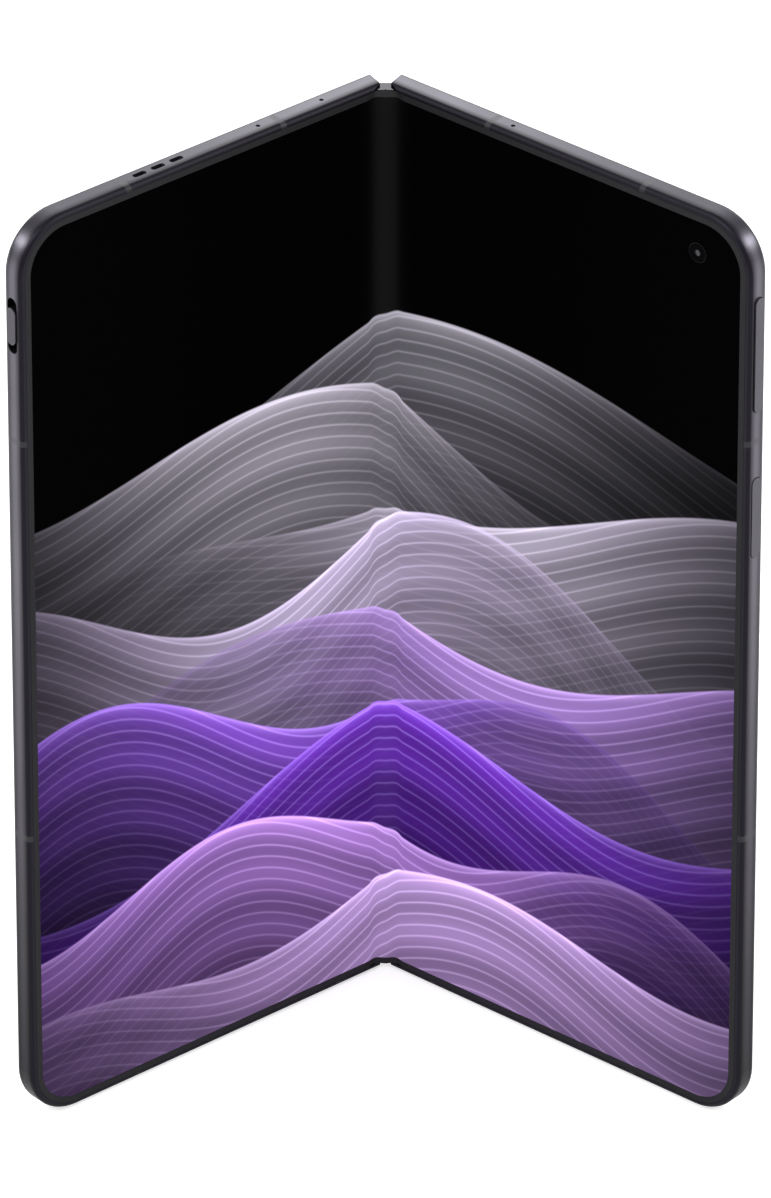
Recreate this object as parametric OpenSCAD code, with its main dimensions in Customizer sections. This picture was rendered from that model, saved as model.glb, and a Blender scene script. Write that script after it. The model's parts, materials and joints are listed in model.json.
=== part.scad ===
// Book-style folding smartphone, standing half open on its bottom edges.
// The fold runs along +Z, the inner display faces -Y and the hinge spine is at the back (+Y).
// Each half is drawn lying flat with its display up: X runs from the fold line to the outer
// edge, Y runs up the phone, and -Z runs through its thickness. A depth is measured from the
// front face. seat_right() and seat_left() stand a half up and fold it about its own axis.

/* [Overall] */
// Height of the phone along the fold
body_h = 160.9; // [150:0.1:172]
// Width of one half, from the fold line to its outer edge
half_w = 72.8; // [70:0.1:80]
// Thickness of one half
body_t = 4.2; // [4.1:0.05:5]
// Radius of the outer corners
corner_r = 8.8; // [8:0.1:14]
// Angle by which each half is folded away from flat
fold = 40; // [15:1:60]

/* [Frame] */
// Rounding of the frame's front edge
front_fillet = 0.85; // [0.3:0.05:0.85]
// Rounding of the frame's back edge
back_fillet = 1; // [0.4:0.05:1]
// Width of the frame's side wall
wall_w = 2; // [1.8:0.1:2.6]
// Width of the metal rim that shows round the inner display
rim_w = 0.9; // [0.88:0.02:1.1]
// Width of the metal rim that shows round the back panel
back_rim_w = 1.1; // [1.05:0.05:1.4]
// Thickness of the plate across the middle of the frame
mid_t = 0.6; // [0.4:0.05:0.7]
// Thickness of the back panel and of the cover glass
back_t = 0.6; // [0.4:0.05:0.7]
// Width of each plastic antenna break
break_w = 1; // [0.6:0.1:1.6]
// Depth of each antenna break into the rim
break_depth = 1.3; // [0.8:0.1:1.5]
// Distance of the top's inner antenna breaks from the fold line
break_inner = 21; // [19:0.1:22.5]
// Distance of the inner antenna breaks of the bottom edge from the fold line
break_bottom = 10.6; // [9.5:0.1:11.2]
// Distance of the outer antenna breaks from the outer edge
break_outer = 21.3; // [20.5:0.1:22]
// Distance of the upper side breaks below the top edge
break_high = 37.5; // [36:0.1:38]
// Height of the lower side breaks
break_low = 52.5; // [30:0.5:70]

/* [Inner display] */
// Width of the dark bezel inside the metal rim
bezel_w = 1.1; // [1:0.05:2]
// Thickness of the bezel lip that overlaps the display
lip_cover_t = 0.1; // [0.05:0.01:0.12]
// Thickness of the flexible display laminate
display_t = 0.28; // [0.2:0.01:0.3]
// Thickness of the plate bonded behind the display
support_t = 0.13; // [0.08:0.01:0.15]
// Length of display, on each side of the fold line, that bends
fold_half = 4.4; // [4.2:0.1:5]
// Distance of the inner camera from the outer edge
inner_cam_side = 10.5; // [9.8:0.1:11.8]
// Distance of the inner camera below the top edge
inner_cam_drop = 7.6; // [7.2:0.1:8.6]
// Radius of the inner camera's hole in the display
inner_cam_r = 1.8; // [1.4:0.1:2]

/* [Hinge] */
// Distance of each fold axis from the centre plane
axis_x = 2; // [1.95:0.01:2.1]
// Gap between the two front faces when the phone is shut
closed_gap = 0.5; // [0.4:0.05:0.6]
// Thickness of each half's back lip over the spine
lip_t = 0.4; // [0.3:0.05:0.45]
// Gap between a half's pocket and the spine
spine_clear = 0.1; // [0.06:0.01:0.12]
// Wall thickness of the spine cover
cover_t = 0.4; // [0.3:0.05:0.45]
// Distance of each back lip from the centre plane when flat
lip_gap = 0.3; // [0.2:0.05:0.5]
// Thickness of the end plates of the halves above and below the spine
end_t = 1; // [0.8:0.1:1.3]
// Gap between an end plate and the spine
end_gap = 0.5; // [0.15:0.05:0.6]
// Number of hinge mechanisms along the spine
hinge_count = 3; // [2:1:4]
// Distance of the first mechanism's middle from the end of the phone
hinge_end = 22; // [18:0.5:26]
// Radius of the hinge pins
pin_r = 0.3; // [0.25:0.01:0.34]
// Radial clearance between a pin and what turns on it
pin_clear = 0.03; // [0.02:0.01:0.05]
// Width of each hinge arm
arm_w = 5; // [4:0.1:5.2]
// Thickness of each hinge arm
arm_t = 0.75; // [0.6:0.05:0.8]
// Number of teeth on each gear
gear_teeth = 10; // [8:2:12]
// Length of each gear
gear_l = 2.9; // [2:0.1:3]

/* [Buttons and ports] */
// Distance of the volume rocker's middle below the top edge
volume_drop = 22.4; // [22:0.1:22.8]
// Length of the volume rocker
volume_l = 20; // [16:0.1:20.5]
// Distance of the power button's middle below the top edge
power_drop = 51.1; // [49:0.1:56]
// Length of the power button
power_l = 14.1; // [11:0.1:16]
// Distance of the alert slider's middle below the top edge
slider_drop = 17.3; // [17:0.1:18]
// Length of the alert slider's slot
slider_slot_l = 9.6; // [9:0.1:10]
// Length of the alert slider
slider_l = 6.4; // [5:0.1:6.5]
// Width of the side buttons
button_w = 2; // [1.6:0.1:2.1]
// Height by which the volume rocker and the slider stand proud
button_out = 0.3; // [0.1:0.05:0.5]
// Height by which the power button stands proud
power_out = 0.1; // [0.05:0.05:0.3]
// Width of the charging port's opening
port_w = 8.34; // [8.3:0.01:8.4]
// Height of the charging port's opening
port_h = 2.56; // [2.5:0.01:2.6]
// Width of the card tray's face
tray_w = 14.6; // [13.6:0.1:15.4]

/* [Rear camera] */
// Width of the camera island
island_w = 36; // [34:0.5:37]
// Corner radius of the camera island
island_r = 11; // [8:0.5:14]
// Height of the camera island above the back
island_t = 2; // [1:0.1:2.6]
// Distance of the island's middle from the outer edge
island_side = 23.8; // [23:0.1:26]
// Distance of the island's middle below the top edge
island_drop = 26; // [24:0.5:28]
// Distance between the middles of two lenses
lens_pitch = 16.4; // [15:0.1:17]
// Radius of each large lens window
lens_r = 6; // [5:0.1:6.4]

/* [Hidden] */
$fn = 64;

// Working gaps
seat_gap = 0.05;
button_gap = 0.08;
flange_gap = 0.3;
flange_t = 0.4;
rocker_rib_r = 0.4;
eps = 0.01;
over = 2;

// Depths through a half, from its front face
axis_y = axis_x - closed_gap / 2;
mid_front = lip_cover_t + display_t + support_t + 0.04;
mid_back = mid_front + mid_t;
back_front = body_t - back_t;
pocket_r = body_t - lip_t - axis_y;
spine_r = pocket_r - spine_clear;
fold_relief = mid_back + seat_gap;
display_back = lip_cover_t + display_t;
side_mid = body_t / 2;

// Distances across a half, from the fold line
hinge_wall = axis_x + pocket_r + 2.15;
back_start = axis_x + pocket_r + 0.95;
cavity_s = half_w - wall_w;
display_edge = rim_w + seat_gap + 0.6 + seat_gap;
bezel_in = rim_w + bezel_w;

// Spine
spine_low = end_t + end_gap;
end_back = axis_x - 1.05;
end_tip = axis_x - 0.4;
end_front = axis_x + 1.2;
spine_len = body_h - 2 * spine_low;
strip_gap = 1.2;
cover_front = axis_y + 0.35;
cap_front = axis_y - 0.3;
bracket_front = axis_y - 0.77;
bracket_r = spine_r - cover_t - 0.03;
floor_y = axis_y + 0.95;
cover_in = axis_y + spine_r - cover_t;

// Hinge mechanism, along Z from the lower end of one bracket
cheek_t = 1.2;
gear_z = cheek_t + 0.15;
web_z = gear_z + gear_l + 0.2;
arm_z = web_z + 1.15;
cam_z = arm_z + arm_w + 0.15;
cam_l = 1.8;
disc_z = cam_z + cam_l + 0.1;
disc_count = 6;
disc_t = 0.3;
disc_step = 0.33;
end_cheek_z = disc_z + disc_count * disc_step + 0.12;
module_l = end_cheek_z + cheek_t;
tab_l = 2.6;
sleeve_r = 0.62;
sleeve_over = 0.05;
disc_r = 0.78;
web_half = 1.2;
idler_shaft_r = 0.25;
idler_clear = 0.03;
pitch_r = axis_x / 3;
gear_unit = 2 * pitch_r / gear_teeth;
tip_r = pitch_r + 0.9 * gear_unit;
root_r = pitch_r - 1.15 * gear_unit;
hub_r = root_r - 0.03;
arm_end = hinge_wall + 5;
arm_screws = [hinge_wall + 1.6, hinge_wall + 3.8];
arm_slot_gap = 0.2;
screw_r = 0.45;
screw_gap = 0.05;
screw_head_r = 0.8;
screw_head_t = 0.4;
tab_screw_r = 0.35;

hinge_step = (body_h - 2 * hinge_end) / (hinge_count - 1);
hinge_starts = [for (i = [0 : hinge_count - 1]) hinge_end + i * hinge_step - module_l / 2];
flex_w = 9;
flex_t = 0.12;
flex_mids = [for (i = [0 : hinge_count - 2]) hinge_end + (i + 0.5) * hinge_step];

// The part is centred over its footprint
front_reach = (half_w - front_fillet - axis_x) * sin(fold)
    + (axis_y - front_fillet) * cos(fold) + front_fillet - axis_y;
back_reach = axis_y + (axis_x - lip_gap) * sin(fold) + (body_t - axis_y) * cos(fold);
y_shift = (front_reach - back_reach) / 2;

// Places on the edges of the halves
side_break_z = [break_low, body_h - break_high];
volume_z = body_h - volume_drop;
power_z = body_h - power_drop;
slider_z = body_h - slider_drop;
break_s = half_w - break_outer;
port_s = half_w / 2;
port_d = back_front - 0.02 - port_h / 2 - 0.1;
tray_s = (break_bottom + port_s - port_w / 2) / 2;
tray_depth = 12;
tray_t = 1.2;
tray_d = side_mid;
slot_l = 2.5;
slot_w = 1;
slot_step = 3.6;
hole_r = 0.35;
end_hole_s = 11.9;
ear_slots = [for (i = [1 : 3]) break_s - 0.1 - i * slot_step];
low_slots = [for (i = [1 : 3]) break_s + 0.6 + i * slot_step];
port_hole_s = (port_s + port_w / 2 + break_s) / 2;

// Places inside the halves
inner_cam_s = half_w - inner_cam_side;
inner_cam_z = body_h - inner_cam_drop;
inner_cam_w = 5;
island_s = half_w - island_side;
island_z = body_h - island_drop;
lens_places = [for (p = [[-1, 1], [1, 1], [-1, -1]]) p * lens_pitch / 2];
flash_place = [lens_pitch / 2, -lens_pitch / 2];
module_w = 12;
cover_cam_s = half_w / 2;
cover_cam_z = body_h - 9.9;
cover_cam_r = 2;
cover_cam_w = 5.6;
part_d = mid_back + 0.2;
part_back = back_front - 0.25;
part_gap = 0.6;
board_t = 0.5;
wire_gap = 3;
part_in = arm_end + part_gap;
part_out = cavity_s - 1.5;
part_low = wall_w + 0.7;
part_high = body_h - part_low;
port_depth = 7.4;
tongue_w = 6.7;
tongue_l = 4.6;
reader_depth = 13;
camera_in = island_s - lens_pitch / 2 - module_w / 2 - part_gap;
camera_low = island_z - lens_pitch / 2 - module_w / 2 - part_gap;
main_low = camera_low - 28;
charging_low = wall_w + reader_depth + 0.4;
charging_high = charging_low + 12;
top_low = cover_cam_z - cover_cam_w / 2 - part_gap - 4;
left_low = top_low - 15;
can_edge = 5;
speaker_w = 14.6;
ear_box_w = 9;
motor_w = 18;
motor_h = 9;
motor_low = charging_low;

metal = [0.36, 0.35, 0.39];
dark_metal = [0.2, 0.2, 0.22];
steel = [0.66, 0.67, 0.7];
black = [0.03, 0.03, 0.035];
board_green = [0.07, 0.2, 0.16];

// ---- placing ----

module stand() {
    translate([0, y_shift, 0]) children();
}

module seat_right() {
    stand() translate([axis_x, axis_y, 0]) rotate([0, 0, -fold])
        translate([-axis_x, -axis_y, 0]) rotate([90, 0, 0]) children();
}

module seat_left() {
    mirror([1, 0, 0]) seat_right() children();
}

// A copy of what is at the top end, mirrored to the bottom end
module both_ends() {
    children();
    translate([0, body_h, 0]) mirror([0, 1, 0]) children();
}

// ---- outlines ----

function arc_step(u) = u * u * (3 - 2 * u);
function turn(s) = fold * arc_step(min(s / fold_half, 1));

// Place, seen along the fold, of the display point s from the fold line at depth d
function bent(s, d) = let (w = turn(s)) [
    axis_x + (s - axis_x) * cos(w) + (d - axis_y) * sin(w),
    axis_y - (s - axis_x) * sin(w) + (d - axis_y) * cos(w)
];
function folded(s, d) = [
    axis_x + (s - axis_x) * cos(fold) + (d - axis_y) * sin(fold),
    axis_y - (s - axis_x) * sin(fold) + (d - axis_y) * cos(fold)
];
function flip(p) = [-p[0], p[1]];
function backwards(list) = [for (i = [len(list) - 1 : -1 : 0]) list[i]];

// The side faces of a plate that bends over the whole fold zone, from depth d0 to d1
module bent_band(d0, d1) {
    steps = 14;
    stations = [for (i = [0 : steps]) fold_half * i / steps];
    front = [for (s = stations) bent(s, d0)];
    back = [for (s = stations) bent(s, d1)];
    polygon(concat(
        [for (p = backwards(front)) flip(p)],
        [for (i = [1 : steps]) front[i]],
        backwards(back),
        [for (i = [1 : steps]) flip(back[i])]
    ));
}

module rounded(w, h, r) {
    square([w - 2 * r, h], center = true);
    square([w, h - 2 * r], center = true);
    for (x = [-1, 1], y = [-1, 1]) {
        translate([x * (w / 2 - r), y * (h / 2 - r)]) circle(r);
    }
}

// A rounded block between two depths, centred at s and z
module block(s, z, w, h, r, d0, d1) {
    translate([s, z, -d1]) linear_extrude(d1 - d0) rounded(w, h, r);
}

// The same between given edges
module span(s0, s1, z0, z1, r, d0, d1) {
    block((s0 + s1) / 2, (z0 + z1) / 2, s1 - s0, z1 - z0, r, d0, d1);
}

module peg(s, z, r, d0, d1) {
    translate([s, z, -d1]) cylinder(r = r, h = d1 - d0);
}

// Outline of a half, drawn in by inset and starting at a distance from the fold line
module outline(inset, start) {
    translate([start, inset]) square([half_w - corner_r - start, body_h - 2 * inset]);
    translate([start, corner_r]) square([half_w - inset - start, body_h - 2 * corner_r]);
    for (z = [corner_r, body_h - corner_r]) {
        translate([half_w - corner_r, z]) circle(corner_r - inset);
    }
}

module slab(inset, start, d0, d1) {
    translate([0, 0, -d1]) linear_extrude(d1 - d0) outline(inset, start);
}

// Carries a section round the three outer sides of a half. In the section, x is the distance
// from the corner's centre line and y is minus the depth.
module round_the_edge(start) {
    both_ends() {
        translate([start, body_h - corner_r, 0]) rotate([90, 0, 90])
            linear_extrude(half_w - corner_r - start) children();
        translate([half_w - corner_r, body_h - corner_r, 0])
            rotate_extrude(angle = 90) children();
    }
    translate([half_w - corner_r, body_h - corner_r, 0]) rotate([90, 0, 0])
        linear_extrude(body_h - 2 * corner_r) children();
}

// Solid section of the rim with its rounded front and back edges
module rim_section(depth_in) {
    intersection() {
        translate([corner_r - depth_in, -body_t]) square([depth_in, body_t]);
        union() {
            translate([0, back_fillet - body_t])
                square([corner_r, body_t - back_fillet - front_fillet]);
            translate([0, -front_fillet - eps])
                square([corner_r - front_fillet, front_fillet + eps]);
            translate([0, -body_t]) square([corner_r - back_fillet, back_fillet + eps]);
            translate([corner_r - front_fillet, -front_fillet]) circle(front_fillet);
            translate([corner_r - back_fillet, back_fillet - body_t]) circle(back_fillet);
        }
    }
}

module frame_section() {
    difference() {
        rim_section(wall_w);
        translate([0, -mid_front]) square([corner_r - rim_w, mid_front + eps]);
        translate([0, -body_t - eps]) square([corner_r - back_rim_w, back_t + eps]);
    }
}

// ---- cuts in the halves ----

// Space for the spine, seen along the fold
module pocket_shape() {
    translate([axis_x, -axis_y]) circle(pocket_r);
    translate([-over, -axis_y - pocket_r]) square([over + axis_x, pocket_r + over]);
}

// Space for the display where it bends
module relief_shape() {
    translate([-over, -fold_relief]) square([over + fold_half, fold_relief + over]);
}

// What an end plate leaves free, so that the two halves clear each other over the whole fold
module end_shape() {
    polygon([
        [-over, -body_t - over],
        [end_back, -body_t - over],
        [end_back, -body_t],
        [end_tip, -front_fillet / 2],
        [end_front, 0],
        [end_front, over],
        [-over, over]
    ]);
}

// A shape drawn in the plane across the fold, carried along the fold
module along_fold(z0, z1) {
    translate([0, z1, 0]) rotate([90, 0, 0]) linear_extrude(z1 - z0) children();
}

module hinge_cuts() {
    along_fold(end_t, body_h - end_t) pocket_shape();
    along_fold(rim_w, body_h - rim_w) relief_shape();
    both_ends() along_fold(body_h - end_t, body_h + over) end_shape();
    for (z0 = hinge_starts) {
        along_fold(z0 + arm_z - arm_slot_gap, z0 + arm_z + arm_w + arm_slot_gap) {
            translate([axis_x, -mid_back - arm_t - arm_slot_gap])
                square([hinge_wall - axis_x + over, arm_t + arm_slot_gap]);
        }
        for (s = arm_screws) {
            peg(s, z0 + arm_z + arm_w / 2, screw_r + screw_gap, mid_front - over, mid_back + eps);
        }
    }
    for (z = flex_mids) {
        along_fold(z - flex_w / 2 - arm_slot_gap, z + flex_w / 2 + arm_slot_gap) {
            translate([axis_x, -mid_back - 0.6]) square([hinge_wall - axis_x + over, 0.6]);
        }
    }
}

// A rounded slot through the outer wall
module side_slot(z, length, width) {
    translate([cavity_s - over, z, -side_mid]) rotate([0, 90, 0])
        linear_extrude(wall_w + 2 * over) rounded(width, length, width / 2 - eps);
}

// A rounded slot through the top wall, or a hole where the length is the width
module top_slot(s, length, width) {
    translate([s, body_h + over, -side_mid]) rotate([90, 0, 0])
        linear_extrude(wall_w + over + 1) rounded(length, width, width / 2 - eps);
}

module top_hole(s, r) {
    translate([s, body_h + over, -side_mid]) rotate([90, 0, 0]) cylinder(r = r, h = wall_w + over + 1);
}

module to_bottom() {
    translate([0, body_h, 0]) mirror([0, 1, 0]) children();
}

module top_break(s) {
    translate([s - break_w / 2, body_h - break_depth, -body_t - over])
        cube([break_w, break_depth + over, body_t + 2 * over]);
}

module break_bars() {
    top_break(break_inner);
    to_bottom() top_break(break_bottom);
    both_ends() top_break(break_s);
    for (z = side_break_z) {
        translate([half_w - break_depth, z - break_w / 2, -body_t - over])
            cube([break_depth + over, break_w, body_t + 2 * over]);
    }
}

// Frame of one half: rim, middle plate and hinge wall in one machined piece
module half_frame() {
    difference() {
        union() {
            round_the_edge(lip_gap) frame_section();
            slab(wall_w - 0.2, fold_half, mid_front, mid_back);
            translate([lip_gap, wall_w - 0.2, -body_t])
                cube([back_start - lip_gap, body_h - 2 * wall_w + 0.4, body_t - mid_front]);
            translate([back_start - eps, wall_w - 0.2, -back_front])
                cube([hinge_wall - back_start + eps, body_h - 2 * wall_w + 0.4,
                      back_front - mid_front]);
        }
        hinge_cuts();
        break_bars();
        children();
    }
}

module antenna_breaks() {
    intersection() {
        round_the_edge(lip_gap) difference() {
            rim_section(break_depth);
            translate([0, -mid_front]) square([corner_r - rim_w, mid_front + eps]);
            translate([0, -body_t - eps]) square([corner_r - back_rim_w, back_t + eps]);
        }
        break_bars();
    }
}

module half_bezel() {
    round_the_edge(fold_half) {
        translate([corner_r - rim_w - seat_gap - 0.6, -mid_front])
            square([0.6, mid_front]);
        translate([corner_r - bezel_in, -lip_cover_t])
            square([bezel_w - seat_gap, lip_cover_t]);
    }
}

module half_display() {
    slab(display_edge, fold_half, lip_cover_t, display_back);
}

module half_display_plate() {
    slab(display_edge + 0.2, fold_half, display_back, display_back + support_t);
}

// ---- hinge ----

// Spine outline seen along the fold: two arcs about the fold axes and a flat back
module spine_shape(r, front) {
    intersection() {
        union() {
            for (x = [-axis_x, axis_x]) translate([x, axis_y]) circle(r);
            translate([-axis_x, axis_y]) square([2 * axis_x, r]);
        }
        translate([-axis_x - r - 1, front]) square([2 * (axis_x + r + 1), r + axis_y + 1]);
    }
}

module upright(z0, length) {
    stand() translate([0, 0, z0]) linear_extrude(length) children();
}

module tab_screw_places() {
    for (z0 = hinge_starts, z = [z0 - tab_l / 2, z0 + module_l + tab_l / 2]) {
        translate([0, 0, z]) children();
    }
}

module spine_cover() {
    color(metal) difference() {
        union() {
            upright(spine_low, spine_len) difference() {
                spine_shape(spine_r, cover_front);
                spine_shape(spine_r - cover_t, cover_front - 1);
            }
            for (z = [spine_low, spine_low + spine_len - 1]) {
                upright(z, 1) spine_shape(spine_r, cap_front);
            }
        }
        stand() tab_screw_places() translate([0, cover_in - eps, 0]) rotate([-90, 0, 0])
            cylinder(r = tab_screw_r + 0.01, h = 0.25);
    }
}

// One-piece carrier of a mechanism: two cheeks, a web and a floor with a screw tab at each end
module hinge_bracket() {
    difference() {
        union() {
            translate([0, 0, -tab_l]) linear_extrude(module_l + 2 * tab_l)
                spine_shape(bracket_r, floor_y);
            for (z = [0, end_cheek_z]) {
                translate([0, 0, z]) linear_extrude(cheek_t)
                    spine_shape(bracket_r, bracket_front);
            }
            translate([-web_half, bracket_front, web_z])
                cube([2 * web_half, floor_y - bracket_front + eps, 1]);
            // cam block between the two sleeves and the disc springs
            translate([0, 0, cam_z]) linear_extrude(cam_l)
                spine_shape(bracket_r - 0.3, bracket_front + 0.1);
        }
        for (x = [-axis_x, axis_x]) {
            translate([x, axis_y, -eps]) cylinder(r = pin_r + 0.02, h = module_l + 2 * eps);
        }
        for (x = [-pitch_r, pitch_r]) {
            translate([x, axis_y, cheek_t - 0.9]) {
                cylinder(r = idler_shaft_r + idler_clear, h = web_z - cheek_t + 1.75);
            }
        }
        for (z = [-tab_l / 2, module_l + tab_l / 2]) {
            translate([0, floor_y - eps, z]) rotate([-90, 0, 0])
                cylinder(r = tab_screw_r + 0.02, h = cover_in - floor_y + 1);
        }
    }
}

module hinge_brackets() {
    color(steel) stand() for (z0 = hinge_starts) translate([0, 0, z0]) hinge_bracket();
}

module hinge_pins() {
    color(steel) stand() for (z0 = hinge_starts, x = [-axis_x, axis_x]) {
        translate([x, axis_y, z0 + 0.1]) cylinder(r = pin_r, h = module_l - 0.2);
    }
}

// Stacks of spring discs that press on the cam block and give the fold its friction
module friction_discs() {
    color(dark_metal) stand()
        for (z0 = hinge_starts, x = [-axis_x, axis_x], i = [0 : disc_count - 1]) {
            translate([x, axis_y, z0 + disc_z + i * disc_step]) difference() {
                cylinder(r = disc_r, h = disc_t);
                translate([0, 0, -1]) cylinder(r = pin_r + 0.02, h = disc_t + 2);
            }
        }
}

module bracket_screws() {
    color(steel) stand() tab_screw_places() translate([0, floor_y, 0]) rotate([-90, 0, 0]) {
        difference() {
            translate([0, 0, -0.35]) cylinder(r = 0.7, h = 0.35);
            translate([0, 0, -0.36]) cylinder(r = 0.3, h = 0.2, $fn = 6);
        }
        translate([0, 0, -eps]) cylinder(r = tab_screw_r, h = cover_in - floor_y + 0.22);
    }
}

// Flat strip under the middle of the fold, carried by the brackets' cheeks
module centre_strip() {
    color(steel) upright(spine_low + strip_gap, spine_len - 2 * strip_gap)
        translate([-0.5, bracket_front - 0.36]) square([1, 0.3]);
}

// Ribbon cables from half to half, dipping into the spine
module hinge_flex_cables() {
    path = [
        folded(hinge_wall + 3, mid_back + 0.3),
        folded(fold_half + 0.1, mid_back + 0.3),
        [axis_x + 0.6, axis_y + 0.5],
        [axis_x - 0.6, cover_in - 0.35],
        [0, cover_in - 0.25]
    ];
    lift = [0, flex_t];
    near = concat(path, [for (i = [3 : -1 : 0]) flip(path[i])]);
    far = [for (p = near) p + lift];
    color([0.55, 0.36, 0.16]) for (z = flex_mids) {
        upright(z - flex_w / 2, flex_w) polygon(concat(near, backwards(far)));
    }
}

module display_fold() {
    color(black) upright(display_edge, body_h - 2 * display_edge)
        bent_band(lip_cover_t, display_back);
}

module fold_trim() {
    outer = rim_w + seat_gap;
    color(dark_metal) for (low = [true, false]) {
        upright(low ? outer : body_h - bezel_in, bezel_w - seat_gap)
            bent_band(0, lip_cover_t);
        upright(low ? outer : body_h - outer - 0.6, 0.6)
            bent_band(lip_cover_t - eps, display_back);
    }
}

// Small spur gear with straight flanks; a tooth points along the phase angle
module gear_shape(phase) {
    pitch = 360 / gear_teeth;
    half_root = pitch * 0.3;
    half_tip = pitch * 0.1;
    polygon([for (i = [0 : gear_teeth - 1], k = [0 : 3])
        let (
            a = phase + i * pitch + [-half_root, -half_tip, half_tip, half_root][k],
            r = [root_r, tip_r, tip_r, root_r][k]
        ) r * [cos(a), sin(a)]
    ]);
}

// The idlers carry the turn of one half to the other through the arms' own gears
module idler_gears(x, phase) {
    stand() for (z0 = hinge_starts) translate([x, axis_y, z0]) {
        translate([0, 0, gear_z]) linear_extrude(gear_l) gear_shape(phase);
        translate([0, 0, cheek_t - 0.8]) cylinder(r = idler_shaft_r, h = web_z - cheek_t + 1.6);
    }
}

module idler_gears_left() {
    color(steel) idler_gears(-pitch_r, 0);
}

module idler_gears_right() {
    color(steel) idler_gears(pitch_r, 180 / gear_teeth);
}

// Arm of one half, drawn at the right: gear, sleeve on the pin, and a foot under the frame
module hinge_arm(z0, phase) {
    difference() {
        union() {
            stand() translate([axis_x, axis_y, z0]) {
                translate([0, 0, gear_z]) linear_extrude(gear_l) gear_shape(phase);
                translate([0, 0, gear_z + gear_l - eps])
                    cylinder(r = hub_r, h = arm_z - gear_z - gear_l + 2 * eps);
                translate([0, 0, arm_z - sleeve_over])
                    cylinder(r = sleeve_r, h = arm_w + 2 * sleeve_over);
            }
            seat_right() along_fold(z0 + arm_z, z0 + arm_z + arm_w) {
                translate([axis_x, -mid_back - arm_t]) square([arm_end - axis_x, arm_t]);
            }
        }
        stand() translate([axis_x, axis_y, z0])
            cylinder(r = pin_r + pin_clear, h = module_l);
        seat_right() for (s = arm_screws) {
            peg(s, z0 + arm_z + arm_w / 2, screw_r + screw_gap, 0, body_t);
        }
    }
}

module right_hinge_arms() {
    color(steel) for (z0 = hinge_starts) hinge_arm(z0, 0);
}

module left_hinge_arms() {
    color(steel) mirror([1, 0, 0]) for (z0 = hinge_starts) hinge_arm(z0, 180 / gear_teeth);
}

module arm_screw_set() {
    head_d = mid_back + arm_t;
    for (z0 = hinge_starts, s = arm_screws) {
        z = z0 + arm_z + arm_w / 2;
        peg(s, z, screw_r, mid_front + 0.1, head_d + eps);
        difference() {
            peg(s, z, screw_head_r, head_d, head_d + screw_head_t);
            translate([s, z, -head_d - screw_head_t - eps]) cylinder(r = 0.35, h = 0.25, $fn = 6);
        }
    }
}

module left_arm_screws() {
    color(steel) seat_left() arm_screw_set();
}

module right_arm_screws() {
    color(steel) seat_right() arm_screw_set();
}

// ---- left half ----

module left_frame() {
    color(metal) seat_left() half_frame() {
        side_slot(slider_z, slider_slot_l, button_w + 2 * button_gap);
        for (s = ear_slots) top_slot(s, slot_l, slot_w);
        for (s = [break_inner + 3.5, end_hole_s]) top_hole(s, hole_r);
        to_bottom() top_hole(break_s + 8, hole_r);
    }
}

module left_antenna_breaks() {
    color(dark_metal) seat_left() antenna_breaks();
}

module left_bezel() {
    color(dark_metal) seat_left() half_bezel();
}

module left_display() {
    color(black) seat_left() half_display();
}

module left_display_plate() {
    color(steel) seat_left() half_display_plate();
}

// Flat pouch cell between two heights, with its folded edge and terminal strip
module battery(z0, z1) {
    span(part_in, part_out, z0, z1 - 2, 1.5, part_d, part_back);
    span(part_in + 4, part_out - 4, z1 - 2.2, z1, 0.4, part_d + 0.4, part_d + 1);
}

module left_battery() {
    color([0.12, 0.12, 0.13]) seat_left()
        battery(motor_low + motor_h + wire_gap, left_low - part_gap);
}

module shield_can(s0, s1, z0, z1) {
    span(s0, s1, z0, z1, 0.6, part_d + board_t - eps, part_back - 0.3);
}

// Cut for a screw through a board, near one of its corners
module board_hole(s, z) {
    peg(s, z, 0.8, 0, body_t);
}

module left_board() {
    split = part_in + 0.55 * (part_out - part_in);
    arm_out = cover_cam_s - cover_cam_w / 2 - part_gap;
    color(board_green) seat_left() {
        difference() {
            union() {
                span(part_in, part_out, left_low, top_low, 1, part_d, part_d + board_t);
                span(part_in, arm_out, top_low - 4, part_high, 1, part_d, part_d + board_t);
            }
            for (s = [part_in + 2, part_out - 2]) board_hole(s, left_low + 2);
        }
        shield_can(part_in + can_edge, split - 2, left_low + 2, top_low - 2);
        shield_can(split, part_out - can_edge, left_low + 2, top_low - 2);
        shield_can(part_in + 3, arm_out - 2, top_low + 1, part_high - 2);
    }
}

// Speaker box with a duct that leads to the slots in the top edge
module top_speaker() {
    duct_out = break_s - 1.2;
    box_in = cover_cam_s + cover_cam_w / 2 + part_gap;
    color([0.1, 0.1, 0.11]) seat_left() {
        span(box_in, duct_out + ear_box_w, top_low + part_gap, part_high - 3.2, 1, part_d, part_back);
        span(box_in, duct_out, part_high - 4, part_high, 0.8, part_d, part_back - 0.6);
    }
}

// Flat resonant motor in its steel case with two suspension lugs
module vibration_motor() {
    middle = (part_in + part_out) / 2;
    lug_z = motor_low + motor_h / 2;
    color(steel) seat_left() {
        span(middle - motor_w / 2, middle + motor_w / 2, motor_low, motor_low + motor_h, 0.8,
             part_d, part_back);
        for (s = [middle - motor_w / 2 - 0.8, middle + motor_w / 2 + 0.8]) {
            block(s, lug_z, 2.4, 4, 0.8, part_d, part_d + board_t);
        }
    }
}

module cover_screen() {
    color([0.02, 0.02, 0.03]) seat_left() difference() {
        slab(wall_w + 0.6, hinge_wall + 0.4, back_front - 0.2, back_front);
        peg(cover_cam_s, cover_cam_z, cover_cam_r + 0.15, 0, body_t + 1);
    }
}

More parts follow.
